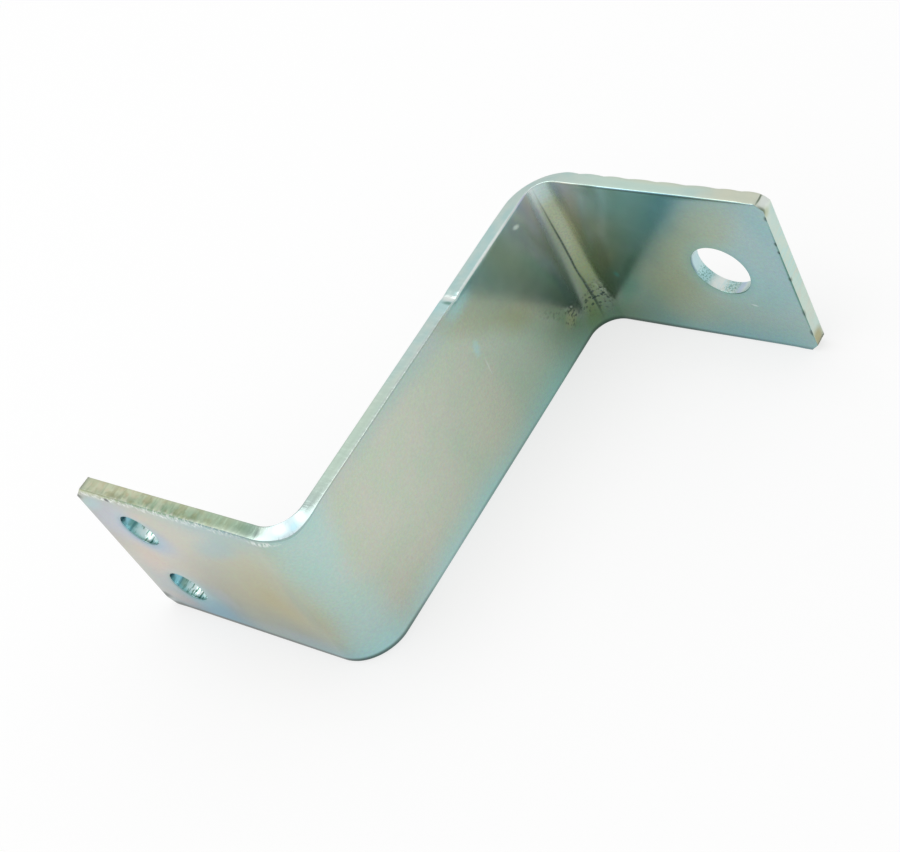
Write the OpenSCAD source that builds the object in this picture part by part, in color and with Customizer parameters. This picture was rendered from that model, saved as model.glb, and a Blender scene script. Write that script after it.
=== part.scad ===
// Offset bracket folded from one zinc plated steel strip.
// The strip runs along a long foot, turns up a web and turns back out along a
// short foot, so the two feet lie parallel and point away from each other.
// The bracket stands on one long edge of the strip, with its width along Z.

/* [Strip] */
// Width of the strip
strip_w = 25.4; // [20:0.1:40]
// Thickness of the strip
strip_t = 1.98; // [1.2:0.02:3]
// Radius that the shears roll along both long edges of the face they enter
edge_roll = 0.36; // [0.1:0.02:0.6]

/* [Folds] */
// Length of the long foot, from its end to the outer face of the web
long_foot = 37.1; // [28:0.1:60]
// Length of the short foot, from its end to the outer face of the web
short_foot = 33.8; // [28:0.1:60]
// Height over both feet, outside to outside
offset_h = 59.6; // [40:0.1:100]
// Inside radius of the fold between the long foot and the web
long_fold_r = 4.1; // [2:0.1:6]
// Inside radius of the fold between the web and the short foot
short_fold_r = 3.7; // [2:0.1:6]
// How much the fold at the long foot is flatter outside than a fold of even thickness
long_fold_draw = 0; // [0:0.1:1.5]
// How much the fold at the short foot is flatter outside than a fold of even thickness
short_fold_draw = 0.9; // [0:0.1:1.5]

/* [Ends] */
// Size of the cut across each free corner of the long foot
long_corner_cut = 1.9; // [0.6:0.1:3]
// Size of the cut across each free corner of the short foot
short_corner_cut = 1; // [0.6:0.1:3]

/* [Large hole] */
// Diameter of the hole in the short foot
big_hole_d = 7.94; // [5:0.02:10]
// Distance of its centre from the end of the short foot
big_hole_end = 9.7; // [8:0.1:13]

/* [Small holes] */
// Diameter of each hole in the long foot
small_hole_d = 5.56; // [3:0.02:7]
// Distance between the centres of the two holes, across the strip
small_hole_pitch = 12.2; // [9:0.1:13]
// Distance of their centres from the end of the long foot
small_hole_end = 7.9; // [6:0.1:12]

/* [Hidden] */
$fn = 96;

// Every cutter runs this far past the metal
past = 1;
// Colour of the zinc plate
zinc = [0.70, 0.74, 0.70];

// The web lies with its faces across X. Its outer face on the long foot's fold is at x = 0,
// and the outer face of the long foot is at y = 0.
long_fold_out = long_fold_r + strip_t + long_fold_draw;
short_fold_out = short_fold_r + strip_t + short_fold_draw;
long_end_x = -long_foot;
short_end_x = short_foot - strip_t;
short_under_y = offset_h - strip_t;
mid_w = strip_w / 2;

// The origin is under the middle of the whole bracket
origin_x = (long_end_x + short_end_x) / 2;
origin_y = offset_h / 2;

// The space between a square corner at the origin and a round of radius r inside it
module corner_space(r, over = 0) {
    difference() {
        translate([-over, -over]) square(r + over);
        translate([r, r]) circle(r);
    }
}

// Side view of the folded strip, along X and Y
module side_profile() {
    difference() {
        union() {
            // Long foot, web and short foot, each as far as its square corner
            translate([long_end_x, 0]) square([long_foot, strip_t]);
            translate([-strip_t, 0]) square([strip_t, offset_h]);
            translate([-strip_t, short_under_y]) square([short_foot, strip_t]);
            // Inside of each fold
            translate([-strip_t, strip_t]) mirror([1, 0]) corner_space(long_fold_r);
            translate([0, short_under_y]) mirror([0, 1]) corner_space(short_fold_r);
        }
        // Outside of each fold
        mirror([1, 0]) corner_space(long_fold_out, past);
        translate([-strip_t, offset_h]) mirror([0, 1]) corner_space(short_fold_out, past);
    }
}

// Cutter for a rolled edge along a straight run of length run. The run goes along +X
// from the origin, with the metal on its +Y side and above it.
module rolled_run(run) {
    rotate([90, 0, 90]) linear_extrude(run) corner_space(edge_roll, past);
}

// Cutter for a rolled edge round the outside of a fold, from the +X side to the +Y side
module rolled_outside(r) {
    rotate_extrude(angle = 90) translate([r, 0]) mirror([1, 0]) corner_space(edge_roll, past);
}

// Cutter for a rolled edge round the inside of a fold, from the +X side to the +Y side
module rolled_inside(r) {
    rotate_extrude(angle = 90) translate([r, 0]) corner_space(edge_roll, past);
}

// Cutters along one long edge of the face that starts under the long foot, at z = 0
module rolled_edge() {
    translate([long_end_x - past, 0, 0]) rolled_run(long_foot - long_fold_out + past);
    translate([-long_fold_out, long_fold_out, 0]) rotate([0, 0, -90]) rolled_outside(long_fold_out);
    translate([0, long_fold_out, 0]) rotate([0, 0, 90])
        rolled_run(short_under_y - short_fold_r - long_fold_out);
    translate([short_fold_r, short_under_y - short_fold_r, 0]) rotate([0, 0, 90])
        rolled_inside(short_fold_r);
    translate([short_fold_r, short_under_y, 0]) rolled_run(short_end_x - short_fold_r + past);
}

// A round punch through a foot, at x and at height z, for a foot whose lower face is at y
module punch(x, y, z, d) {
    translate([x, y + strip_t + past, z]) rotate([90, 0, 0]) cylinder(d = d, h = strip_t + 2 * past);
}

// A square bar set on its corner, which takes off both corners at one end of a foot.
// The end is at x and the foot's lower face at y.
module corner_nips(x, y, size) {
    for (z = [0, strip_w])
        translate([x, y + strip_t / 2, z]) rotate([0, 45, 0])
            cube([size * sqrt(2), strip_t + 2 * past, size * sqrt(2)], center = true);
}

// The whole bracket
module bracket() {
    color(zinc) translate([-origin_x, -origin_y, 0]) difference() {
        linear_extrude(strip_w) side_profile();
        // Rolled edges, below and above
        rolled_edge();
        translate([0, 0, strip_w]) mirror([0, 0, 1]) rolled_edge();
        // Large hole, in the middle of the short foot's width
        punch(short_end_x - big_hole_end, short_under_y, mid_w, big_hole_d);
        // Two small holes, side by side in the long foot
        for (side = [-1, 1])
            punch(long_end_x + small_hole_end, 0, mid_w + side * small_hole_pitch / 2, small_hole_d);
        // Free corners of both feet
        corner_nips(long_end_x, 0, long_corner_cut);
        corner_nips(short_end_x, short_under_y, short_corner_cut);
    }
}

bracket();
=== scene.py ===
import math

import bmesh
import bpy
from mathutils import Matrix, Vector, noise
from mathutils.geometry import delaunay_2d_cdt


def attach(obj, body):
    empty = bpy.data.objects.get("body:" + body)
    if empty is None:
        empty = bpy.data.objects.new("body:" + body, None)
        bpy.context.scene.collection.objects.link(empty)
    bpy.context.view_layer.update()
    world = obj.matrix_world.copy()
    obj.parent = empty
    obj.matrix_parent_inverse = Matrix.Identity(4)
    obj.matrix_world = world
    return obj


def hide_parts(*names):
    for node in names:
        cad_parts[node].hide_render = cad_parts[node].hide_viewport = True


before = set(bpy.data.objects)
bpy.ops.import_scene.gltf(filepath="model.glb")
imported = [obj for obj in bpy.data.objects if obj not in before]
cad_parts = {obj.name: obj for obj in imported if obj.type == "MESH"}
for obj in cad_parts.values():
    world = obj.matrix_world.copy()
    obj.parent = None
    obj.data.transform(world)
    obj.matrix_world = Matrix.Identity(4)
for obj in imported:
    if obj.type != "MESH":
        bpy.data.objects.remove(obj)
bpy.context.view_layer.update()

# An offset bracket: one strip of sheet steel, sheared and punched flat, folded twice and zinc plated.
# Lengths are in millimetres until a point is placed, and the last step turns them to metres.
MM = 0.001

# The strip and its folds
STRIP_W = 25.4
STRIP_T = 1.98
LONG_FOOT = 37.1
SHORT_FOOT = 33.8
OFFSET_H = 59.6
LONG_FOLD_IN = 4.1
LONG_FOLD_OUT = LONG_FOLD_IN + STRIP_T
SHORT_FOLD_IN = 3.7
SHORT_FOLD_OUT = 6.58
LONG_CUT = 1.9            # at the upper corner
LONG_CUT_LOWER = 1.2
SHORT_CUT = 1.0

# The punched holes
BIG_HOLE_R = 3.97
BIG_HOLE_END = 9.7
SMALL_HOLE_R = 2.78
SMALL_HOLE_END = 7.9
SMALL_HOLE_PITCH = 12.2

SHORT_END_X = SHORT_FOOT - STRIP_T
SHORT_UNDER_Y = OFFSET_H - STRIP_T
WEB_TOP = OFFSET_H - SHORT_FOLD_OUT
SHORT_TANGENT_X = SHORT_FOLD_OUT - STRIP_T
ORIGIN_X = (SHORT_END_X - LONG_FOOT) / 2
ORIGIN_Y = OFFSET_H / 2

# Stations along the developed strip, measured on the face that the camera sees
LONG_RUN = LONG_FOOT - LONG_FOLD_OUT
LONG_FOLD_LEN = LONG_FOLD_OUT * math.pi / 2
WEB_START = LONG_RUN + LONG_FOLD_LEN
WEB_RUN = WEB_TOP - LONG_FOLD_OUT
SHORT_FOLD_START = WEB_START + WEB_RUN
SHORT_FOLD_LEN = 2 * (SHORT_TANGENT_X - SHORT_FOLD_IN) + SHORT_FOLD_IN * math.pi / 2
SHORT_START = SHORT_FOLD_START + SHORT_FOLD_LEN
STRIP_LEN = SHORT_START + SHORT_END_X - SHORT_TANGENT_X


def bell(value, middle, reach):
    """1 at middle, falling smoothly to nothing a couple of reaches away."""
    return math.exp(-((value - middle) / reach) ** 2)


def smooth(low, high, value):
    """0 below low, 1 above high, with a soft step between."""
    k = min(max((value - low) / (high - low), 0.0), 1.0)
    return k * k * (3 - 2 * k)


def ripple(along, across, size, seed):
    """Smooth random height between about -1 and 1, with hills about size millimetres apart. Each seed
    reads its own part of the same fixed noise."""
    spot = Vector((along / size + 31.7 * seed, across / size - 17.3 * seed, 5.1 * seed))
    return noise.noise(spot) * 1.8


# Where the strip runs

TIGHT_FOLD_IN = 3.05      # the short foot's fold is tighter inside, away from the strip's lower edge
TIGHTEST_FOLD_IN = 2.75   # and tightest at the upper edge


def short_fold_inside(across):
    return (SHORT_FOLD_IN + (TIGHT_FOLD_IN - SHORT_FOLD_IN) * smooth(0.5, 6.0, across)
            + (TIGHTEST_FOLD_IN - TIGHT_FOLD_IN) * smooth(16.0, 25.0, across))


def course(along, across):
    """The seen face and the far face of the strip at one station: two points of the side view."""
    if along <= LONG_RUN:
        x = along - LONG_FOOT
        return Vector((x, 0)), Vector((x, STRIP_T))
    if along <= WEB_START:
        turn = (along - LONG_RUN) / LONG_FOLD_OUT
        spoke = Vector((math.sin(turn), -math.cos(turn)))
        centre = Vector((-LONG_FOLD_OUT, LONG_FOLD_OUT))
        return centre + spoke * LONG_FOLD_OUT, centre + spoke * LONG_FOLD_IN
    if along <= SHORT_FOLD_START:
        y = LONG_FOLD_OUT + along - WEB_START
        return Vector((0, y)), Vector((-STRIP_T, y))
    if along >= SHORT_START:
        x = SHORT_TANGENT_X + along - SHORT_START
        return Vector((x, SHORT_UNDER_Y)), Vector((x, OFFSET_H))
    inside = short_fold_inside(across)
    lead = SHORT_TANGENT_X - inside
    quarter = inside * math.pi / 2
    run = (along - SHORT_FOLD_START) / SHORT_FOLD_LEN * (2 * lead + quarter)
    far_centre = Vector((SHORT_TANGENT_X, WEB_TOP))
    if run < lead:
        near, way = Vector((0, WEB_TOP + run)), Vector((-1, 0))
    elif run > lead + quarter:
        near, way = Vector((inside + run - lead - quarter, SHORT_UNDER_Y)), Vector((0, 1))
    else:
        turn = (run - lead) / inside
        way = Vector((-math.cos(turn), math.sin(turn)))
        near = Vector((inside, SHORT_UNDER_Y - inside)) + way * inside
    gap = near - far_centre
    reach = -gap.dot(way) + math.sqrt(gap.dot(way) ** 2 - gap.dot(gap) + SHORT_FOLD_OUT ** 2)
    return near, near + way * reach


CREASE_DEPTH = 0.06       # the crease that the punch left across the tight fold
CREASE_REACH = 0.11
CREASE_LIP = 0.015        # metal pushed up beside it
PIT_DEPTH = 0.10
PIT_SIZE = 0.45


def crease_line(across):
    """Where the crease runs, as a share of the short foot's fold."""
    return 0.40 + 0.0030 * (STRIP_W - across) + 0.005 * ripple(across, 0, 2.5, 3)


def dents(along, across):
    """How far the seen face dips, in millimetres: the punch's crease, and pits at its lower end."""
    share = (along - SHORT_FOLD_START) / SHORT_FOLD_LEN
    if not -0.8 < share < 1.6:
        return 0.0
    offset = (share - crease_line(across)) * SHORT_FOLD_LEN
    strength = smooth(2.6, 5.0, across) * (1 - smooth(22.5, 24.8, across))
    crease = CREASE_DEPTH * bell(offset, 0, CREASE_REACH) - CREASE_LIP * bell(offset, 0.35, 0.2)
    beside_crease = bell(across, 5.8, 2.2) * bell(offset, 0.8, 1.3)
    before_fold = bell(across, 5.6, 1.6) * bell(offset, -3.6, 1.4)
    rough = max(0.0, ripple(along, across, PIT_SIZE, 8) - 0.25)
    return strength * crease + PIT_DEPTH * (beside_crease + 0.6 * before_fold) * rough


LONG_FOLD_DRAW = 0.92     # at the upper edge
LONG_FOLD_DRAW_LOWER = 0.08
SHORT_FOLD_DRAW = 0.18
DRAW_REACH = 1.3          # how far into the strip's width the pull is felt


def edge_draw(along, across, depth_share):
    """How far the edges draw in at a fold, where the outside of the bend is stretched. The long foot's
    fold draws its upper edge in far more than its lower one."""
    upper = across > STRIP_W / 2
    pull = bell(STRIP_W - across if upper else across, 0, DRAW_REACH)
    long_fold = bell(along, LONG_RUN + LONG_FOLD_LEN * 0.54, 2.9) * (1 - depth_share)
    short_fold = bell(along, SHORT_FOLD_START + SHORT_FOLD_LEN * 0.5, SHORT_FOLD_LEN * 0.5) * depth_share
    amount = (LONG_FOLD_DRAW if upper else LONG_FOLD_DRAW_LOWER) * long_fold + SHORT_FOLD_DRAW * short_fold
    return amount * pull * (-1 if upper else 1)


NICK_AT = 72.2            # a knock on the web's upper edge
NICK_DEPTH = 0.15
NICK_TAIL = 0.06          # its shallow end, towards the tight fold


def nick(along, across, depth_share):
    """How far the knock pushes the upper edge down, in millimetres."""
    if abs(along - NICK_AT) > 3 or across < STRIP_W - 3:
        return 0.0
    near_edge = smooth(STRIP_W - 0.9, STRIP_W, across)
    dip = NICK_DEPTH * bell(along, NICK_AT, 0.45) + NICK_TAIL * bell(along, NICK_AT + 0.7, 0.4)
    return near_edge * dip * (1 - 0.4 * depth_share)


BOW = 0.035               # feet and web are never quite flat
BOW_SIZE = 17.0


def place(along, across, depth):
    """A point of the finished bracket from its place in the flat strip, in metres."""
    near, far = course(along, across)
    share = depth / STRIP_T
    through = far - near
    side = near + through * share
    inward = through.normalized()
    # Both feet bow towards the inside of the bracket's box
    bow = BOW * max(0.0, 0.5 + 0.5 * ripple(along, across, BOW_SIZE, 1))
    lean = 1 - 2 * smooth(WEB_START, SHORT_FOLD_START, along)
    side = side + inward * (bow * lean + dents(along, across) * (1 - share))
    up = across + edge_draw(along, across, share) - nick(along, across, share)
    return Vector(((side.x - ORIGIN_X) * MM, (side.y - ORIGIN_Y) * MM, up * MM))


# The flat blank

FLAT_STEP = 0.9
SHORT_FOOT_STEP = 0.5
LONG_FOLD_STEP = 0.32
SHORT_FOLD_STEP = 0.14
PIT_STEP = 0.16
NICK_STEP = 0.15
END_STEP = 0.7
SEEN_ROW_STEP = 0.8
FAR_ROW_STEP = 1.2
EDGE_GAP = 0.62           # inner points of the mesh stay this far from every edge
PIT_NET_LEAD = 2.0        # the closer net under the pits starts this far before the tight fold
PIT_NET_RUN = SHORT_FOLD_LEN + 2.5
PIT_NET_LOW = 1.1         # above the lower edge
PIT_NET_HEIGHT = 10


def stations():
    """Places along the strip where the mesh has a column, closer together in the folds."""
    def run(start, end, step):
        count = max(1, round((end - start) / step))
        return [start + (end - start) * k / count for k in range(count)]
    return (run(0, LONG_RUN, FLAT_STEP) + run(LONG_RUN, WEB_START, LONG_FOLD_STEP)
            + run(WEB_START, NICK_AT - 1, FLAT_STEP) + run(NICK_AT - 1, NICK_AT + 1.5, NICK_STEP)
            + run(NICK_AT + 1.5, SHORT_FOLD_START, FLAT_STEP)
            + run(SHORT_FOLD_START, SHORT_START, SHORT_FOLD_STEP)
            + run(SHORT_START, STRIP_LEN, SHORT_FOOT_STEP) + [STRIP_LEN])


def outline(columns):
    """The blank's outline as points with the direction into the metal, going round once."""
    corners = [(LONG_CUT_LOWER, 0), (STRIP_LEN - SHORT_CUT, 0), (STRIP_LEN, SHORT_CUT),
               (STRIP_LEN, STRIP_W - SHORT_CUT), (STRIP_LEN - SHORT_CUT, STRIP_W),
               (LONG_CUT, STRIP_W), (0, STRIP_W - LONG_CUT), (0, LONG_CUT_LOWER)]
    points = []
    for k, start in enumerate(corners):
        start, end, before = Vector(start), Vector(corners[(k + 1) % 8]), Vector(corners[k - 1])
        way, way_before = (end - start).normalized(), (start - before).normalized()
        into, into_before = Vector((-way.y, way.x)), Vector((-way_before.y, way_before.x))
        points.append((start, (into + into_before) / (1 + into.dot(into_before))))
        if abs(way.y) < 1e-9:
            low, high = sorted((start.x, end.x))
            marks = [c for c in columns if low + 0.2 < c < high - 0.2]
            marks = marks if way.x > 0 else marks[::-1]
            points += [(Vector((c, start.y)), into) for c in marks]
        else:
            count = max(2, round((end - start).length / END_STEP))
            points += [(start.lerp(end, j / count), into) for j in range(1, count)]
    return points


END_ROLL = 0.10           # the ends and corner cuts are crisp
LONG_EDGE_ROLL = 0.22     # the shears roll the long edges of the seen face


def roll_radius(point):
    """Radius of the rolled edge at a point of the outline."""
    from_end = min(point.x, STRIP_LEN - point.x)
    on_long_edge = min(point.y, STRIP_W - point.y) < 0.01
    return END_ROLL + ((LONG_EDGE_ROLL - END_ROLL) * smooth(2.0, 3.4, from_end) if on_long_edge else 0)


SCALLOP_DEPTH = 0.20
SCALLOP_PITCH = 3.7


def scallop(point):
    """The shears left the short foot's upper edge scalloped on its far side, in millimetres."""
    if point.y < STRIP_W - 0.01 or not SHORT_START - 2 < point.x < STRIP_LEN - SHORT_CUT:
        return 0.0
    wave = point.x / SCALLOP_PITCH + 0.25 * ripple(point.x, 0, 4.0, 2)
    fade = smooth(SHORT_START - 2, SHORT_START + 1, point.x)
    return SCALLOP_DEPTH * fade * (1 - abs(math.sin(math.pi * wave)) ** 0.7)


ROLL_STEPS = 5
BACK_STEPS = 2
WALL_SHARES = (0.3, 0.42, 0.5, 0.6, 0.7, 0.8, 0.9)    # rings down the wall, as shares of the thickness


def edge_rings(points, radius_of, back_radius, tear):
    """Rings from the seen face round the rolled edge, down the wall and onto the far face."""
    rings = []
    for k in range(ROLL_STEPS + 1):
        turn = k / ROLL_STEPS * math.pi / 2
        rings.append([(p + into * radius_of(p) * (1 - math.sin(turn)), radius_of(p) * (1 - math.cos(turn)))
                      for p, into in points])
    for share in WALL_SHARES:
        # Past the smooth sheared band the metal has torn, a little back from it and rough
        torn = smooth(0.4, 0.55, share)
        rings.append([(p + into * torn * tear * max(0.0, 0.6 + 0.4 * ripple(p.x + p.y, share * 4, 0.5, 6)),
                       STRIP_T * share) for p, into in points])
    for k in range(BACK_STEPS + 1):
        turn = k / BACK_STEPS * math.pi / 2
        rings.append([(p + into * (tear * 0.6 + scallop(p) + back_radius * (1 - math.cos(turn))),
                       STRIP_T - back_radius * (1 - math.sin(turn))) for p, into in points])
    return rings


def circle(centre, radius, count):
    """A hole's rim, going round the other way, with the direction into the metal."""
    spokes = [Vector((math.cos(a), -math.sin(a))) for a in (2 * math.pi * k / count for k in range(count))]
    return [(centre + spoke * radius, spoke) for spoke in spokes]


BIG_HOLE_AT = STRIP_LEN - BIG_HOLE_END
LOWER_HOLE = (STRIP_W - SMALL_HOLE_PITCH) / 2
UPPER_HOLE = (STRIP_W + SMALL_HOLE_PITCH) / 2
BIG_HOLE_SIDES = 112
SMALL_HOLE_SIDES = 88
HOLES = [(Vector((BIG_HOLE_AT, STRIP_W / 2)), BIG_HOLE_R, BIG_HOLE_SIDES),
         (Vector((SMALL_HOLE_END, LOWER_HOLE)), SMALL_HOLE_R, SMALL_HOLE_SIDES),
         (Vector((SMALL_HOLE_END, UPPER_HOLE)), SMALL_HOLE_R, SMALL_HOLE_SIDES)]


def in_blank(point, margin):
    """Whether a point of the flat strip is on metal and at least margin from every edge."""
    x, y = point
    if min(x, STRIP_LEN - x, y, STRIP_W - y) < margin:
        return False
    for cut, from_end in ((LONG_CUT, x), (SHORT_CUT, STRIP_LEN - x)):
        if (from_end + min(y, STRIP_W - y) - cut) / math.sqrt(2) < margin:
            return False
    return all((Vector(point) - centre).length > radius + margin for centre, radius, _ in HOLES)


def fill_face(loops, columns, fine):
    """Triangles over one face of the blank, between its edge loops, as points and corner numbers."""
    points = [p for loop in loops for p in loop]
    sides, start = [], 0
    for loop in loops:
        count = len(loop)
        sides += [(start + k, start + (k + 1) % count) for k in range(count)]
        start += count
    rows = round(STRIP_W / (SEEN_ROW_STEP if fine else FAR_ROW_STEP))
    for x in columns:
        for j in range(1, rows):
            spot = Vector((x, STRIP_W * j / rows))
            if in_blank(spot, EDGE_GAP):
                points.append(spot)
    if fine:
        # A closer net of points under the pits, with every other row shifted by half a step
        start_x = SHORT_FOLD_START - PIT_NET_LEAD
        for k in range(round(PIT_NET_RUN / PIT_STEP)):
            for j in range(round(PIT_NET_HEIGHT / PIT_STEP)):
                spot = Vector((start_x + (k + 0.37 + 0.5 * (j % 2)) * PIT_STEP,
                               PIT_NET_LOW + (j + 0.43) * PIT_STEP))
                if in_blank(spot, EDGE_GAP):
                    points.append(spot)
    within_edges = 1
    spots, _, corners, sources, _, _ = delaunay_2d_cdt(points, sides, [], within_edges, 1e-6)
    place_of = {source: k for k, sources_here in enumerate(sources) for source in sources_here}
    # A triangle with all its corners on one hole's rim lies in the hole
    rims, start = [], len(loops[0])
    for loop in loops[1:]:
        rims.append({place_of[start + k] for k in range(len(loop))})
        start += len(loop)
    corners = [face for face in corners if not any(rim.issuperset(face) for rim in rims)]
    return spots, corners, place_of


SHEARED_BACK_ROUND = 0.05
SHEARED_TEAR = 0.02
PUNCHED_ROLL = 0.12
PUNCHED_BACK_ROUND = 0.07
PUNCHED_TEAR = 0.05


def strip_mesh():
    """The folded strip as one closed mesh. Sheared walls get the second material slot."""
    columns = stations()
    rim_sets = [edge_rings(outline(columns), roll_radius, SHEARED_BACK_ROUND, SHEARED_TEAR)]
    for centre, radius, count in HOLES:
        rim_sets.append(edge_rings(circle(centre, radius, count), lambda p: PUNCHED_ROLL,
                                   PUNCHED_BACK_ROUND, PUNCHED_TEAR))
    verts, faces, walls, flat = [], [], [], []
    ring_marks = []

    def add(spot, depth):
        verts.append(place(spot.x, spot.y, depth))
        flat.append((spot.x, spot.y, depth))
        return len(verts) - 1

    for front, fine in ((True, True), (False, False)):
        loops = [[p for p, _ in rings[0 if front else -1]] for rings in rim_sets]
        spots, corners, place_of = fill_face(loops, columns, fine)
        numbers = [add(spot, 0.0 if front else STRIP_T) for spot in spots]
        for face in corners:
            face = [numbers[k] for k in face]
            faces.append(face if front else face[::-1])
            walls.append(False)
        start, marks = 0, []
        for loop in loops:
            marks.append([numbers[place_of[start + k]] for k in range(len(loop))])
            start += len(loop)
        ring_marks.append(marks)
    for k, rings in enumerate(rim_sets):
        levels = [ring_marks[0][k]]
        for ring in rings[1:-1]:
            levels.append([add(p, d) for p, d in ring])
        levels.append(ring_marks[1][k])
        for level, (upper, lower) in enumerate(zip(levels, levels[1:])):
            count = len(upper)
            for j in range(count):
                n = (j + 1) % count
                faces.append([upper[j], lower[j], lower[n], upper[n]])
                walls.append(level >= ROLL_STEPS - 1)
    mesh = bpy.data.meshes.new("zinc_plated_strip")
    mesh.from_pydata(verts, [], faces)
    mesh.validate()
    bm = bmesh.new()
    bm.from_mesh(mesh)
    bmesh.ops.recalc_face_normals(bm, faces=bm.faces[:])
    bm.to_mesh(mesh)
    bm.free()
    mesh.polygons.foreach_set("material_index", [int(w) for w in walls])
    mesh.polygons.foreach_set("use_smooth", [True] * len(walls))
    layer = mesh.attributes.new("blank", "FLOAT_VECTOR", "POINT")
    layer.data.foreach_set("vector", [c * MM for spot in flat for c in spot])
    return mesh


def colour(code):
    """A colour written as sRGB hex, turned to linear."""
    parts = [int(code[k:k + 2], 16) / 255 for k in (0, 2, 4)]
    return tuple(p / 12.92 if p <= 0.04045 else ((p + 0.055) / 1.055) ** 2.4 for p in parts) + (1.0,)


def node(tree, kind, links=None, **settings):
    """Adds one node with its settings, and links its inputs by name or number."""
    made = tree.nodes.new(kind)
    values = settings.pop("values", {})
    for name, value in settings.items():
        setattr(made, name, value)
    for name, value in values.items():
        made.inputs[name].default_value = value
    for name, source in (links or {}).items():
        tree.links.new(source, made.inputs[name])
    return made


# Colours that the chromate film takes on over the zinc
PEARL = "8E8C7D"
SAND = "DAD2C1"
BUFF = "B7B88D"
UMBER = "8E7A46"
HONEY = "E0CFA0"
STRAW = "A69E6C"
BRONZE = "75883F"
SAGE = "6F8B80"
ASH = "9BA9B6"
OLIVE = "445D3F"
DEEP_TEAL = "3F7A62"
STEEL = "496E3F"
AQUA = "9ADEE7"
ICE = "3FA7C7"
SKY = "3F88A8"
AZURE = "B5DCE7"
MIST = "E2E7E3"
SMOKE = "7C8E8F"
MAUVE = "B7BDD8"
LILAC = "B6C3E7"
ROSE = "E7B7A0"
KHAKI = "BAC2A2"
PALE_KHAKI = "CED6B8"
MOSS = "A0BCA0"
HAZE = "B0B6B6"
CREAM = "DCDCC4"
CYAN = "A0E4F0"
# Dark green, for real dark burrs, nicks, pits and scratches, and for painted shade along the crease and the
# rolled edges
DARK_MARK_AND_SHADE = "34443C"
NIGHT = "2C5A70"
# Near white, for bare metal at the knocks and the nick, and for painted highlights on rolled edges, the
# burr, a corner facet, the long fold and the punched walls
BARE_AND_HIGHLIGHT = "EEF4F0"
DULL_BLUE = "98A8AC"
PALE_SAGE = "C6DACA"
FROST = "CCE4D8"
# The film where it lies even, on the sheet and on its sheared walls
GREEN_CLOUD = "BDC9B7"
WARM_CLOUD = "C5C9BB"
WALL_TEAL = "BBD6D2"
WALL_PALE = "CEDCD4"
PAPER = "F7F7F7"


def strip_space(tree, wander):
    """Places in the flat strip, in metres: plain, and shifted a little so that no stain is an oval."""
    flat = node(tree, "ShaderNodeAttribute", attribute_name="blank").outputs["Vector"]
    drift = node(tree, "ShaderNodeTexNoise", {"Vector": flat},
                 values={"Scale": 1 / (7 * MM), "Detail": 2.0})
    shift = node(tree, "ShaderNodeVectorMath", {0: drift.outputs["Color"]}, operation="SUBTRACT",
                 values={1: (0.5, 0.5, 0.5)})
    scaled = node(tree, "ShaderNodeVectorMath", {0: shift.outputs[0]}, operation="MULTIPLY",
                  values={1: (wander * MM, wander * MM, 0)})
    shifted = node(tree, "ShaderNodeVectorMath", {0: flat, 1: scaled.outputs[0]}, operation="ADD")
    return flat, shifted.outputs[0]


def stain(tree, under, where, code, middle, reach, turn=0.0, strength=1.0, broken_by=None):
    """Lays one soft stain over the colour under it. Its middle and its reach are in millimetres,
    and a pattern can break it into specks."""
    local = node(tree, "ShaderNodeMapping", {"Vector": where}, vector_type="TEXTURE",
                 values={"Location": [c * MM for c in middle], "Rotation": (0, 0, math.radians(turn)),
                         "Scale": [c * MM for c in reach]})
    fall = node(tree, "ShaderNodeTexGradient", {"Vector": local.outputs["Vector"]},
                gradient_type="SPHERICAL")
    soft = node(tree, "ShaderNodeMapRange", {"Value": fall.outputs["Fac"]},
                interpolation_type="SMOOTHSTEP", values={"From Max": 0.8, "To Max": strength}).outputs[0]
    if broken_by:
        soft = node(tree, "ShaderNodeMath", {0: soft, 1: broken_by}, operation="MULTIPLY").outputs[0]
    mixed = node(tree, "ShaderNodeMix", {0: soft, 6: under}, data_type="RGBA", values={7: colour(code)})
    return mixed.outputs[2]


def specks(tree, where, size, low, high):
    """Specks about size millimetres across: 0 where a noise is below low, 1 where it is above high."""
    cloud = node(tree, "ShaderNodeTexNoise", {"Vector": where},
                 values={"Scale": 1 / (size * MM), "Detail": 2.0})
    return node(tree, "ShaderNodeMapRange", {"Value": cloud.outputs["Fac"]},
                interpolation_type="SMOOTHSTEP", values={"From Min": low, "From Max": high}).outputs[0]


def round_pits(tree, where, patchy):
    """Dark round pits, one to a cell of about half a millimetre, where a patchy pattern leaves them."""
    cells = node(tree, "ShaderNodeTexVoronoi", {"Vector": where}, values={"Scale": 1 / (0.5 * MM)})
    dots = node(tree, "ShaderNodeMapRange", {"Value": cells.outputs["Distance"]},
                interpolation_type="SMOOTHSTEP", values={"From Min": 0.54, "From Max": 0.3})
    return node(tree, "ShaderNodeMath", {0: dots.outputs[0], 1: patchy}, operation="MULTIPLY").outputs[0]


FILM_DEPTH = 1.4          # how far a tint on the seen face reaches down the walls
BACK_DEPTH = 1.0
MARK_DEPTH = 0.8


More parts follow.
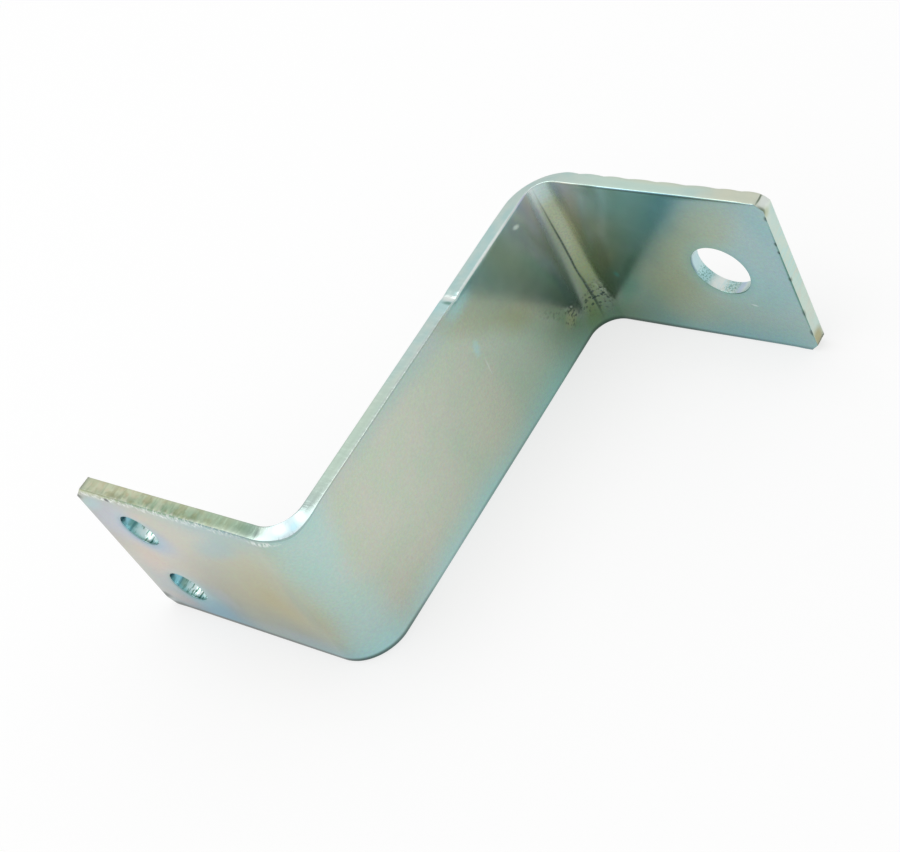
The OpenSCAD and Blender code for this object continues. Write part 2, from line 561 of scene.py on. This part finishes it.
class Film:
    """The colour of one finish, built up stain by stain over the flat strip. Places and reaches are in
    millimetres: along the strip, across it from its lower edge, and through it from the seen face."""

    def __init__(self, tree, wander, cloud_size, detail, one, other):
        self.tree = tree
        self.flat, self.wandering = strip_space(tree, wander)
        # The film's own cloudiness
        self.cloud = node(tree, "ShaderNodeTexNoise", {"Vector": self.flat},
                          values={"Scale": 1 / (cloud_size * MM), "Detail": detail}).outputs["Fac"]
        share = node(tree, "ShaderNodeMapRange", {"Value": self.cloud},
                     values={"From Min": 0.35, "From Max": 0.65})
        self.tint = node(tree, "ShaderNodeMix", {0: share.outputs[0]}, data_type="RGBA",
                         values={6: colour(one), 7: colour(other)}).outputs[2]

    def stain(self, where, code, middle, reach, turn=0.0, strength=1.0, broken_by=None):
        self.tint = stain(self.tree, self.tint, where, code, middle, reach, turn, strength, broken_by)

    def lay(self, code, along, across, reach, turn=0.0, strength=1.0):
        """A soft tint on the seen face that wraps over its rolled edges."""
        self.stain(self.wandering, code, (along, across, 0), (*reach, FILM_DEPTH), turn, strength)

    def lay_back(self, code, along, across, reach, turn, strength):
        """A soft tint on the far face."""
        self.stain(self.wandering, code, (along, across, STRIP_T), (*reach, BACK_DEPTH), turn,
                   strength)

    def mark(self, code, along, across, reach, turn=0.0, strength=1.0, broken_by=None):
        """A mark in one exact place of the seen face."""
        self.stain(self.flat, code, (along, across, 0), (*reach, MARK_DEPTH), turn, strength,
                   broken_by)

    def wall(self, code, along, across, depth, reach, turn=0.0, strength=1.0, broken_by=None):
        """A tint on a sheared or punched wall."""
        self.stain(self.wandering, code, (along, across, depth), reach, turn, strength, broken_by)


def film_on_long_foot(film):
    """Pearl and sand at the free end, blue along the lower edge, straw and smoke before the fold."""
    film.lay(PEARL, -4.3, 0.2, (124.2, 41.0), -28, 1.00)
    film.lay(STRAW, 21.0, -3.6, (43.5, 12.8), 68, 0.79)
    film.lay(SAND, 0.6, 7.5, (10.4, 21.6), -58, 0.69)
    film.lay(SKY, 18.3, -11.0, (35.6, 15.6), -48, 0.81)
    film.lay(SKY, 8.4, 18.3, (5.8, 4.7), 1, 0.93)
    film.lay(ICE, 26.5, 30.6, (18.8, 11.4), 14, 0.49)
    film.lay(SMOKE, 30.4, -4.2, (20.6, 9.4), -44, 1.00)
    film.lay(AQUA, 9.9, 4.9, (5.6, 7.4), 3, 0.20)
    film.lay(SAND, 10.9, 19.5, (16.4, 6.7), 10, 0.33)
    film.lay(ICE, 29.9, 11.6, (3.3, 39.8), 2, 0.05)


def film_on_web(film):
    """Aqua on the long foot's fold and the web, with straw where the web nears the tight fold."""
    film.lay(AQUA, 36.5, 2.5, (6.6, 18.2), -7, 0.32)
    film.lay(AQUA, 36.9, 22.5, (6.7, 17.7), -15, 0.34)
    film.lay(AQUA, 84.6, -7.3, (96.9, 13.7), -1, 0.94)
    film.lay(ICE, 71.3, 25.7, (51.9, 4.7), -2, 0.19)
    film.lay(STRAW, 77.9, 18.1, (5.5, 15.8), 49, 1.00)
    film.lay(SAND, 68.4, 7.8, (7.4, 11.6), 4, 0.39)


def film_on_short_foot(film):
    """Deep teal and olive on the tight fold and the short foot, with a pale band along the fold."""
    # The deep teal and olive that darken the short foot low down towards the tight fold are partly the
    # film's own colour and partly painted shade of the recess there
    film.lay(DEEP_TEAL, 94.1, -10.6, (58.6, 49.4), -70, 0.56)
    film.lay(OLIVE, 92.3, 6.2, (20.5, 14.7), -64, 0.80)
    film.lay(MIST, 90.4, 20.4, (14.2, 20.3), 28, 1.00)
    film.lay(AZURE, 108.5, 22.1, (6.5, 15.7), -53, 1.00)
    film.lay(AZURE, 76.5, 22.3, (10.5, 8.8), -60, 0.24)
    film.lay(SMOKE, 87.7, 17.1, (2.6, 20.4), 17, 0.74)
    film.lay(BRONZE, 93.8, 13.8, (3.2, 18.7), -18, 0.54)
    film.lay(AZURE, 102.0, 24.3, (9.9, 5.5), 35, 1.00)
    film.lay(DEEP_TEAL, 98.7, 9.0, (2.2, 10.4), -36, 0.85)
    film.lay(ASH, 89.2, 13.8, (2.3, 12.5), -3, 1.00)
    film.lay(SAGE, 106.5, 14.9, (7.9, 22.1), -33, 1.00)
    film.lay(ICE, 116.9, 20.4, (15.0, 28.9), 31, 0.43)
    film.lay(STRAW, 105.0, 5.8, (5.9, 10.6), 38, 0.29)
    film.lay(SAND, 116.0, 18.5, (7.5, 11.6), 28, 0.17)
    film.lay(SKY, 114.0, -7.0, (22.5, 18.1), -9, 0.45)


def tints_beside_band(film):
    """Narrow tints beside the pale band, and one at the knock on the web."""
    film.lay(MAUVE, 88.6, 22.5, (1.9, 15.5), 8, 0.89)
    film.lay(BRONZE, 91.5, 17.4, (4.1, 15.8), -9, 0.63)
    film.lay(BRONZE, 94.4, 11.6, (2.2, 6.1), -22, 0.42)
    film.lay(STEEL, 97.8, 22.7, (2.0, 10.7), -15, 0.39)
    film.lay(DEEP_TEAL, 100.1, 6.8, (4.0, 7.2), -63, 0.19)
    film.lay(STEEL, 85.7, 7.6, (1.6, 8.7), 31, 0.37)
    film.lay(OLIVE, 80.8, 20.4, (1.2, 1.2), -43, 0.05)
    film.lay(BUFF, 111.0, 18.1, (6.1, 16.8), -36, 0.49)
    film.lay(SAND, 86.7, 5.8, (1.2, 1.2), 22, 0.05)
    film.lay(HONEY, 93.9, 19.5, (1.7, 7.5), -12, 0.38)
    film.lay(UMBER, 95.2, 13, (1.6, 4.5), -14, 0.14)
    film.lay(AZURE, 91.6, 24.6, (2.8, 3.4), 0, 0.4)
    film.lay(SAGE, 97.5, 24.6, (2, 2), 0, 0.3)
    film.lay(AQUA, 72.4, 24.6, (4, 2.4), 0, 0.35)


def tints_on_long_foot(film):
    """Small tints round the long foot's holes and before its fold."""
    film.lay(LILAC, 4.3, 19.9, (5.8, 9.4), -54, 0.37)
    film.lay(AQUA, 1.8, 22.5, (4.0, 1.6), 29, 0.29)
    film.lay(ROSE, 5.0, 11.2, (4.1, 5.8), -17, 0.19)
    film.lay(ROSE, 10.3, 22.5, (3.8, 1.2), 8, 0.16)
    film.lay(LILAC, 9.1, 17.2, (4.9, 6.6), -75, 0.31)
    film.lay(ROSE, 3.9, 2.5, (4.3, 2.1), -11, 0.17)
    film.lay(SKY, 10.7, 1.7, (5.1, 3.7), 45, 0.30)
    film.lay(LILAC, 14.7, 7.1, (2.5, 3.3), 4, 0.10)
    film.lay(STRAW, 25.4, 11.2, (1.9, 3.7), -28, 0.33)
    film.lay(ICE, 22.0, 20.0, (7.6, 3.0), 28, 0.26)
    film.lay(LILAC, 22.6, 2.6, (10.6, 1.8), 1, 0.07)
    film.lay(SAGE, 30.6, 10.8, (1.5, 9.5), 0, 0.23)


def film_on_far_face(film):
    """Broad, faint bands that run with the folds, as the film dried from the edges inwards."""
    film.lay_back(SAND, 10, 16, (16, 12), -25, 0.5)
    film.lay_back(SKY, 4, 3, (20, 8), 20, 0.35)
    film.lay_back(AQUA, 33, 14, (9, 26), -8, 0.4)
    film.lay_back(STRAW, 44, 8, (8, 22), 12, 0.35)
    film.lay_back(AQUA, 62, 24, (30, 8), 0, 0.4)
    film.lay_back(LILAC, 75, 6, (12, 9), 30, 0.35)
    film.lay_back(STEEL, 86, 13, (6, 30), 6, 0.3)
    film.lay_back(SAND, 104, 18, (14, 9), -30, 0.5)
    film.lay_back(SKY, 117, 2, (18, 9), -15, 0.35)


def crease_and_pits(film):
    """Painted shade along the crease in the tight fold and along a fainter one beside it, and dark pits at
    its lower end.
    """
    crooked = strip_space(film.tree, 0.5)[1]
    # Painted shade: dark lines laid along the crease and beside it
    film.stain(crooked, DARK_MARK_AND_SHADE, (90.86, 13, 0), (0.21, 14.5, MARK_DEPTH), 1.3, 0.85)
    film.stain(crooked, DARK_MARK_AND_SHADE, (91.15, 5.6, 0), (0.28, 5, MARK_DEPTH), 1.3, 0.8)
    pitted = round_pits(film.tree, crooked, specks(film.tree, film.flat, 0.6, 0.40, 0.50))
    film.mark(DARK_MARK_AND_SHADE, 92.2, 5, (2.1, 3.6), 0, 1.0, pitted)
    film.mark(PALE_SAGE, 93.2, 6.2, (1.8, 2.4), 0, 0.25, specks(film.tree, film.flat, 0.4, 0.52, 0.6))
    film.mark(DARK_MARK_AND_SHADE, 90.4, 4.6, (1.8, 2.6), 0, 0.8, pitted)
    film.mark(STRAW, 87, 5.6, (2.6, 1.8), 20, 0.2)
    film.mark(DARK_MARK_AND_SHADE, 87.2, 5.6, (3.0, 2.0), 20, 0.8, pitted)
    film.mark(DARK_MARK_AND_SHADE, 84.6, 8.6, (4.5, 1.2), -48, 0.3, pitted)
    # The stretched film is finely cracked
    film.mark(SMOKE, 91.6, 13, (2.6, 15), 2, 0.35, specks(film.tree, film.flat, 0.25, 0.48, 0.6))


def lines_along_edges(film):
    """Thin painted shade and highlight lines along the strip's long edges."""
    # Lower edge: a painted shade line, for the shaded floor mirrored in the rolled edge
    film.mark(DARK_MARK_AND_SHADE, 14, 0.3, (42, 0.75), 0, 1.0)
    film.mark(DARK_MARK_AND_SHADE, 38, 0.2, (14, 0.7), 0, 0.5)
    film.mark(DARK_MARK_AND_SHADE, 64, 0.2, (24, 0.6), 0, 0.4)
    film.mark(DARK_MARK_AND_SHADE, 96, 0.25, (22, 0.7), 0, 0.75)
    film.mark(DARK_MARK_AND_SHADE, 114, 0.2, (18, 0.6), 0, 0.4)
    # Upper edge: a thin painted shade line just under the short foot's roll, and a painted highlight along
    # the web's roll
    film.mark(DARK_MARK_AND_SHADE, 107, 25.25, (18, 0.22), 0, 0.6)
    film.mark(BARE_AND_HIGHLIGHT, 79, 25.35, (12, 0.28), 0, 0.9)


def long_foot_burr(film):
    """The khaki of the long foot's sheared wall comes down over the roll, most at the free end, and ends in
    a ragged burr of dark metal and bare white, the bright part a painted highlight of the rolled edge."""
    film.mark(MOSS, 14, STRIP_W, (14, 0.6), 0, 0.8)
    film.mark(KHAKI, 3.5, 25.3, (9, 1.3))
    teeth = node(film.tree, "ShaderNodeMapping", {"Vector": film.flat},
                 values={"Scale": (1, 0.3, 0.3)}).outputs[0]
    film.mark(OLIVE, 5, 24.7, (8, 0.4), 3, 0.35, specks(film.tree, teeth, 0.32, 0.52, 0.44))
    # Painted highlight: the bright ragged line along the burr, and the bright teeth at the edge of the long
    # fold's highlight
    film.mark(BARE_AND_HIGHLIGHT, 5, 24.7, (9, 0.8), 3, 0.9, specks(film.tree, teeth, 0.22, 0.50, 0.58))
    film.mark(BARE_AND_HIGHLIGHT, 18, 24.95, (17, 1.0), 0.6, 0.8, specks(film.tree, teeth, 0.22, 0.50, 0.58))
    film.mark(BARE_AND_HIGHLIGHT, 32.5, 24.7, (3, 0.7), 0, 0.7, specks(film.tree, teeth, 0.32, 0.44, 0.54))


def burred_ends(film):
    """Dark burrs at the long foot's corners, and a dark line with nicks along the short foot's end."""
    film.mark(DARK_MARK_AND_SHADE, 0, 1.9, (2.0, 1.1), 0, 1.0)
    film.mark(DARK_MARK_AND_SHADE, 2.2, 0, (2.3, 1.3), 0, 1.0)
    film.mark(DARK_MARK_AND_SHADE, 0, 23.6, (1.4, 0.8), 0, 0.9)
    film.mark(DARK_MARK_AND_SHADE, 6.4, 24.65, (0.7, 0.55))
    film.mark(DEEP_TEAL, STRIP_LEN, 12.7, (0.35, 13), 0, 0.7)
    film.mark(DARK_MARK_AND_SHADE, STRIP_LEN, 3.4, (0.45, 0.8), 0, 0.7)
    film.mark(DARK_MARK_AND_SHADE, STRIP_LEN, 7, (0.4, 0.9), 0, 0.6)
    film.mark(DARK_MARK_AND_SHADE, STRIP_LEN, 13, (0.4, 0.5), 0, 0.7)
    film.mark(DARK_MARK_AND_SHADE, STRIP_LEN, 17.6, (0.45, 0.4), 0, 0.8)
    film.mark(DARK_MARK_AND_SHADE, STRIP_LEN, 19, (0.45, 0.5), 0, 0.8)
    film.mark(DARK_MARK_AND_SHADE, STRIP_LEN, 23.2, (0.45, 0.6), 0, 0.7)


def dark_rim_rings(film):
    """A dark teal ring and an aqua halo round each punched rim on the seen face."""
    for centre, radius, _ in HOLES:
        film.mark(AQUA, *centre, (radius * 1.66, radius * 1.66), 0, 0.35)
        film.mark(DEEP_TEAL, *centre, (radius * 1.41, radius * 1.41), 0, 0.7)


def knocks(film):
    """Small knocks and scratches through the film."""
    film.mark(BARE_AND_HIGHLIGHT, 85.8, 23.5, (0.9, 0.45), 150)
    film.mark(BARE_AND_HIGHLIGHT, 115.6, 7.1, (0.7, 0.2), -14, 0.3)
    film.mark(AQUA, 96.1, 9.2, (0.6, 0.7), 0, 0.6)
    film.mark(BARE_AND_HIGHLIGHT, 71.4, 14, (0.2, 2), -6, 0.14)
    film.mark(AQUA, 71.2, 17.5, (0.9, 1.8), -10, 0.25)


def zinc_plate():
    """Bright zinc with a clear blue chromate film, on rolled sheet: satin, sage grey, with straw, lilac
    and ice blue where the film is thinner or thicker, and dull olive in the tight fold, partly painted
    shade of the recess there."""
    material = bpy.data.materials.new("zinc_plate")
    material.use_nodes = True
    tree = material.node_tree
    tree.nodes.clear()
    film = Film(tree, 1.6, 4, 4.0, GREEN_CLOUD, WARM_CLOUD)
    film_on_long_foot(film)
    film_on_web(film)
    film_on_short_foot(film)
    tints_beside_band(film)
    tints_on_long_foot(film)
    film_on_far_face(film)
    crease_and_pits(film)
    lines_along_edges(film)
    long_foot_burr(film)
    burred_ends(film)
    dark_rim_rings(film)
    knocks(film)

    # The zinc's grain, drawn coarser than the real one so that it shows
    grain = node(tree, "ShaderNodeTexNoise", {"Vector": film.flat},
                 values={"Scale": 1 / (0.35 * MM), "Detail": 3.0})
    tint = node(tree, "ShaderNodeMix", {6: film.tint, 7: grain.outputs["Color"]}, data_type="RGBA",
                blend_type="OVERLAY", values={0: 0.16}).outputs[2]
    satin = node(tree, "ShaderNodeMapRange", {"Value": film.cloud},
                 values={"From Min": 0.3, "From Max": 0.7, "To Min": 0.17, "To Max": 0.23})
    # Stretched in the tight fold, the sheet turns frosty: rougher, with its grain standing up
    fold = node(tree, "ShaderNodeMapping", {"Vector": film.wandering}, vector_type="TEXTURE",
                values={"Location": (91 * MM, 12 * MM, 0), "Scale": (3.2 * MM, 40 * MM, 2 * MM)})
    frost = node(tree, "ShaderNodeTexGradient", {"Vector": fold.outputs["Vector"]},
                 gradient_type="SPHERICAL")
    rough = node(tree, "ShaderNodeMath", {0: frost.outputs["Fac"], 2: satin.outputs[0]},
                 operation="MULTIPLY_ADD", values={1: 0.16})
    lift = node(tree, "ShaderNodeMapRange", {"Value": frost.outputs["Fac"]},
                values={"To Min": 0.0025 * MM, "To Max": 0.014 * MM})
    bump = node(tree, "ShaderNodeBump", {"Height": grain.outputs["Fac"], "Distance": lift.outputs[0]},
                values={"Strength": 0.5})
    shader = node(tree, "ShaderNodeBsdfPrincipled",
                  {"Base Color": tint, "Roughness": rough.outputs[0], "Normal": bump.outputs[0]},
                  values={"Metallic": 1.0})
    node(tree, "ShaderNodeOutputMaterial", {"Surface": shader.outputs["BSDF"]})
    return material


def long_foot_wall(film, drawn, streaks, mottle):
    """Khaki with greener patches, and a burr along the seen face, with a painted highlight of bare white on
    it.
    """
    film.wall(PALE_KHAKI, 12, STRIP_W, 1.2, (28, 3, 4))
    film.wall(MOSS, 17, STRIP_W, 0.7, (10, 3, 1.6), 0, 0.85)
    film.wall(MOSS, 24.5, STRIP_W, 1.2, (9, 3, 1.5), 0, 0.8)
    film.wall(STRAW, 14, STRIP_W, 1.0, (20, 3, 3), 0, 0.4, mottle)
    film.wall(ROSE, 8, STRIP_W, 1.4, (14, 3, 2), 0, 0.15, specks(film.tree, film.flat, 0.9, 0.5, 0.6))
    film.wall(OLIVE, 14, STRIP_W, 0.3, (19, 3, 1.0), 0, 0.3, specks(film.tree, film.flat, 0.8, 0.42, 0.58))
    film.wall(OLIVE, 12, STRIP_W, 0.9, (24, 3, 2.2), 0, 0.22, streaks)
    film.wall(CREAM, 10, STRIP_W, 1.0, (20, 3, 3), 0, 0.35, specks(film.tree, drawn, 0.9, 0.5, 0.6))
    # Painted highlight in bare white along the burr at the seen face
    film.wall(BARE_AND_HIGHLIGHT, 17, STRIP_W, 0.1, (17, 2, 0.5), 0, 0.35, streaks)
    film.wall(DEEP_TEAL, 30.3, STRIP_W, 1.2, (3.4, 3, 1.6), 0, 0.45)
    film.wall(DARK_MARK_AND_SHADE, 31.7, STRIP_W, 0.9, (0.6, 2, 0.9), 0, 0.35)


def long_fold_wall(film):
    """Dull on both sides of a painted highlight in bare white at its middle, with a bluish bruise in it."""
    film.wall(DULL_BLUE, 37.6, STRIP_W, 0.8, (8, 3, 4))
    # Painted highlight: bare white spots either side of the fold's middle
    film.wall(BARE_AND_HIGHLIGHT, 35.2, STRIP_W, 1.3, (1.6, 2, 1.0), 0, 0.3)
    film.wall(BARE_AND_HIGHLIGHT, 38.6, STRIP_W, 1.2, (1.2, 2, 1.3), 0, 0.3)
    film.wall(ICE, 37.0, STRIP_W, 0.8, (0.9, 2, 0.7), 0, 0.2)


def web_wall(film):
    """Greener beyond the fold, bluer beyond the knock, which is bare across the whole edge."""
    film.wall(PALE_SAGE, 50, STRIP_W, 1.0, (15, 3, 5), 0, 0.85)
    film.wall(HAZE, 56, STRIP_W, 0.25, (30, 2, 0.4), 0, 0.4)
    film.wall(AQUA, 71, STRIP_W, 0.8, (2.6, 3, 4), 0, 0.35)
    film.wall(AQUA, 80, STRIP_W, 0.8, (10, 3, 4), 0, 0.15)
    # Painted highlight in bare white along the roll past the knock
    film.wall(BARE_AND_HIGHLIGHT, 80, STRIP_W, 0.1, (12, 2, 0.35), 0, 0.8)
    film.wall(BARE_AND_HIGHLIGHT, NICK_AT, STRIP_W, 1.0, (0.8, 2, 1.8), 0, 0.9)
    film.wall(DEEP_TEAL, NICK_AT - 0.8, STRIP_W, 0.6, (0.4, 2, 1.2), 0, 0.6)


def short_foot_wall(film):
    """Pale sage, turning cream behind and towards its end."""
    film.wall(FROST, 105, STRIP_W, 1.0, (14, 3, 4), 0, 0.9)
    film.wall(CREAM, 108, STRIP_W, 2.0, (12, 3, 1.0), 0, 0.5)
    film.wall(CREAM, 119, STRIP_W, 1.2, (7, 3, 4), 0, 0.7)
    # Painted highlight in bare white on the corner facet at the end
    film.wall(BARE_AND_HIGHLIGHT, STRIP_LEN - 0.4, 25, 1.3, (1.0, 1.2, 1.8), 0, 0.9)
    film.wall(OLIVE, STRIP_LEN - SHORT_CUT, STRIP_W, 1.2, (0.14, 1.2, 1.6), 0, 0.8)


def short_foot_end(film, streaks, mottle):
    """Pale teal with a faint mottle, olive yellow at both corners, nicked like the seen face."""
    film.wall(PALE_SAGE, STRIP_LEN, 12.7, 1.0, (2, 16, 6), 0, 0.6)
    film.wall(ROSE, STRIP_LEN, 11, 1.0, (2, 13, 4), 0, 0.15, mottle)
    film.wall(AQUA, STRIP_LEN, 16, 1.4, (2, 8, 3), 0, 0.25, streaks)
    film.wall(OLIVE, STRIP_LEN, 0.7, 1.0, (1.6, 1.3, 3), 0, 0.8)
    film.wall(STRAW, STRIP_LEN, 2.0, 0.8, (1.6, 1.8, 1.8), 0, 0.8)
    film.wall(KHAKI, STRIP_LEN, 24, 0.4, (1.4, 1.0, 1.0), 0, 0.7)
    # Painted shade: olive where the corner facet meets the seen face
    film.wall(OLIVE, STRIP_LEN - 0.3, 24.6, 0.1, (1.2, 1.0, 0.5), 0, 0.7)
    film.wall(DARK_MARK_AND_SHADE, STRIP_LEN, 7, 0.1, (1, 0.9, 0.3), 0, 0.4)
    film.wall(DARK_MARK_AND_SHADE, STRIP_LEN, 13, 0.1, (1, 0.5, 0.35), 0, 0.5)


def punched_walls(film, drawn):
    """Cyan, scored through the thickness, with painted highlight in bare white where the punch tore them,
    and dark at the tip.
    """
    scores = specks(film.tree, drawn, 0.30, 0.46, 0.54)
    gouges = specks(film.tree, drawn, 0.34, 0.46, 0.40)
    chatter = specks(film.tree, film.flat, 0.18, 0.52, 0.42)
    for across in (LOWER_HOLE, UPPER_HOLE):
        film.wall(CYAN, SMALL_HOLE_END, across, 1.0, (4.5, 4.5, 3))
        # Painted highlight in bare white on the lower part of each small hole's wall
        film.wall(BARE_AND_HIGHLIGHT, SMALL_HOLE_END + 0.3, across - 2.6, 1.2, (3.6, 2.8, 3), 0, 1.0)
        film.wall(CYAN, SMALL_HOLE_END + 0.4, across - 2.8, 1.2, (3.8, 2.6, 3), 0, 0.3, scores)
        film.wall(DEEP_TEAL, SMALL_HOLE_END, across - 2.4, 1.2, (4.2, 3.2, 3), 0, 0.9, gouges)
        film.wall(NIGHT, SMALL_HOLE_END - 2.6, across - 0.95, 1.2, (0.5, 0.3, 3), 0, 0.5)
        film.wall(ICE, SMALL_HOLE_END - 2.7, across, 1.3, (1.3, 1.8, 3), 0, 0.5)
        film.wall(DEEP_TEAL, SMALL_HOLE_END - 0.6, across - 2.6, 0.1, (3.2, 2.0, 0.4), 0, 0.5)
        film.wall(NIGHT, SMALL_HOLE_END - 2.5, across + 1.2, 0.7, (0.8, 1.0, 1.6), 0, 0.95)
    film.wall(AZURE, BIG_HOLE_AT - 3.9, 13.0, 1.0, (1.9, 2.6, 3), 0, 0.6)
    film.wall(NIGHT, BIG_HOLE_AT - 3.9, 13.0, 0.1, (1.0, 3.2, 0.5), 0, 0.7)
    film.wall(AQUA, BIG_HOLE_AT - 3.4, 10.6, 1.0, (1.6, 1.8, 3), 0, 0.5)
    film.wall(DEEP_TEAL, BIG_HOLE_AT - 3.4, 10.6, 1.0, (1.8, 2.0, 3), 0, 0.5, chatter)
    # Painted highlight in bare white on the big hole's wall
    film.wall(BARE_AND_HIGHLIGHT, BIG_HOLE_AT - 1.9, 9.2, 1.0, (1.5, 1.4, 3), 0, 0.8)
    film.wall(DEEP_TEAL, BIG_HOLE_AT - 0.2, 8.8, 1.0, (1.5, 1.3, 3), 0, 0.6, chatter)
    film.wall(CYAN, BIG_HOLE_AT, 9, 1.0, (4, 3, 3), 0, 0.25, scores)
    film.wall(LILAC, BIG_HOLE_AT + 1.2, 8.9, 1.0, (0.9, 0.9, 3), 0, 0.5)
    film.wall(SAGE, BIG_HOLE_AT + 2.7, 9.8, 1.0, (1.6, 1.6, 3), 0, 0.45)


def sheared_zinc():
    """The same zinc on sheared and punched walls: faint streaks through the thickness from the blade,
    khaki on the long foot where the film dried thick, and cyan in the punched holes."""
    material = bpy.data.materials.new("zinc_on_sheared_edge")
    material.use_nodes = True
    tree = material.node_tree
    tree.nodes.clear()
    film = Film(tree, 1.0, 2.2, 3.0, WALL_TEAL, WALL_PALE)
    drawn = node(tree, "ShaderNodeMapping", {"Vector": film.flat},
                 values={"Scale": (1, 1, 0.25)}).outputs[0]
    # Real blade marks are finer than these streaks, which are drawn wide enough to show in the picture
    streaks = specks(tree, drawn, 0.45, 0.42, 0.62)
    mottle = specks(tree, film.flat, 1.4, 0.45, 0.60)
    long_foot_wall(film, drawn, streaks, mottle)
    long_fold_wall(film)
    web_wall(film)
    short_foot_wall(film)
    short_foot_end(film, streaks, mottle)
    punched_walls(film, drawn)

    bump = node(tree, "ShaderNodeBump", {"Height": streaks},
                values={"Strength": 0.4, "Distance": 0.02 * MM})
    shader = node(tree, "ShaderNodeBsdfPrincipled", {"Base Color": film.tint, "Normal": bump.outputs[0]},
                  values={"Metallic": 1.0, "Roughness": 0.28})
    node(tree, "ShaderNodeOutputMaterial", {"Surface": shader.outputs["BSDF"]})
    return material


def build_strip():
    mesh = strip_mesh()
    mesh.materials.append(zinc_plate())
    mesh.materials.append(sheared_zinc())
    strip = bpy.data.objects.new("zinc_plated_strip", mesh)
    bpy.context.scene.collection.objects.link(strip)
    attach(strip, "root")
    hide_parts("bracket")
    return strip


PAPER_GLOW = 0.7
PAPER_HALF = 3.0          # in metres, far past the picture


def build_floor():
    mesh = bpy.data.meshes.new("floor")
    half = PAPER_HALF
    corners = [(-half, -half, 0), (half, -half, 0), (half, half, 0), (-half, half, 0)]
    mesh.from_pydata(corners, [], [(0, 1, 2, 3)])
    floor = bpy.data.objects.new("floor", mesh)
    bpy.context.scene.collection.objects.link(floor)
    material = bpy.data.materials.new("white_paper")
    material.use_nodes = True
    tree = material.node_tree
    tree.nodes.clear()
    paper = node(tree, "ShaderNodeBsdfDiffuse", values={"Color": colour(PAPER)})
    # Part of the paper's white is kept for the camera and for what the metal mirrors
    path = node(tree, "ShaderNodeLightPath")
    seen = node(tree, "ShaderNodeMath",
                {0: path.outputs["Is Camera Ray"], 1: path.outputs["Is Glossy Ray"]}, operation="ADD")
    seen = node(tree, "ShaderNodeMath", {0: seen.outputs[0], 1: path.outputs["Is Transmission Ray"]},
                operation="ADD", use_clamp=True)
    share = node(tree, "ShaderNodeMath", {0: seen.outputs[0]}, operation="MULTIPLY",
                 values={1: PAPER_GLOW})
    glow = node(tree, "ShaderNodeEmission", values={"Color": (1, 1, 1, 1), "Strength": 1.0})
    mixed = node(tree, "ShaderNodeMixShader",
                 {0: share.outputs[0], 1: paper.outputs[0], 2: glow.outputs[0]})
    node(tree, "ShaderNodeOutputMaterial", {"Surface": mixed.outputs[0]})
    mesh.materials.append(material)


def softbox(name, toward, distance, size, radiance):
    """A round soft light that faces the bracket from one side, given as bright as it would look."""
    light = bpy.data.lights.new(name, "AREA")
    light.shape = "DISK"
    light.size = size
    light.energy = radiance * math.pi * math.pi * (size / 2) ** 2
    lamp = bpy.data.objects.new(name, light)
    bpy.context.scene.collection.objects.link(lamp)
    spot = Vector(toward).normalized() * distance
    lamp.location = spot
    lamp.rotation_euler = (-spot).to_track_quat("-Z", "Y").to_euler()


WORLD = 0.78
KEY = 1.75
OVERHEAD = (-0.26, -0.04, 0.965)
OVERHEAD_FAR = 0.6
OVERHEAD_WIDE = 0.52


def build_light():
    world = bpy.data.worlds.new("studio")
    bpy.context.scene.world = world
    world.use_nodes = True
    back = world.node_tree.nodes["Background"]
    back.inputs["Color"].default_value = (1, 1, 1, 1)
    back.inputs["Strength"].default_value = WORLD
    softbox("overhead_softbox", OVERHEAD, OVERHEAD_FAR, OVERHEAD_WIDE, KEY)


CAMERA_PLACE = Vector((141.723, -96.195, 168.449)) * MM
CAMERA_TARGET = Vector((1.553, -1.750, 12.7)) * MM
CAMERA_ROLL = math.radians(-32.613)
CAMERA_LENS = 75.613


def build_camera():
    data = bpy.data.cameras.new("camera")
    data.sensor_width = 36.0
    data.lens = CAMERA_LENS
    camera = bpy.data.objects.new("camera", data)
    bpy.context.scene.collection.objects.link(camera)
    turn = (CAMERA_TARGET - CAMERA_PLACE).to_track_quat("-Z", "Y").to_matrix().to_4x4()
    camera.matrix_world = Matrix.Translation(CAMERA_PLACE) @ turn @ Matrix.Rotation(CAMERA_ROLL, 4, "Z")
    data.clip_start = 0.01
    data.clip_end = 20
    bpy.context.scene.camera = camera


build_camera()
build_strip()
build_floor()
build_light()
bpy.context.scene.view_settings.view_transform = "Standard"
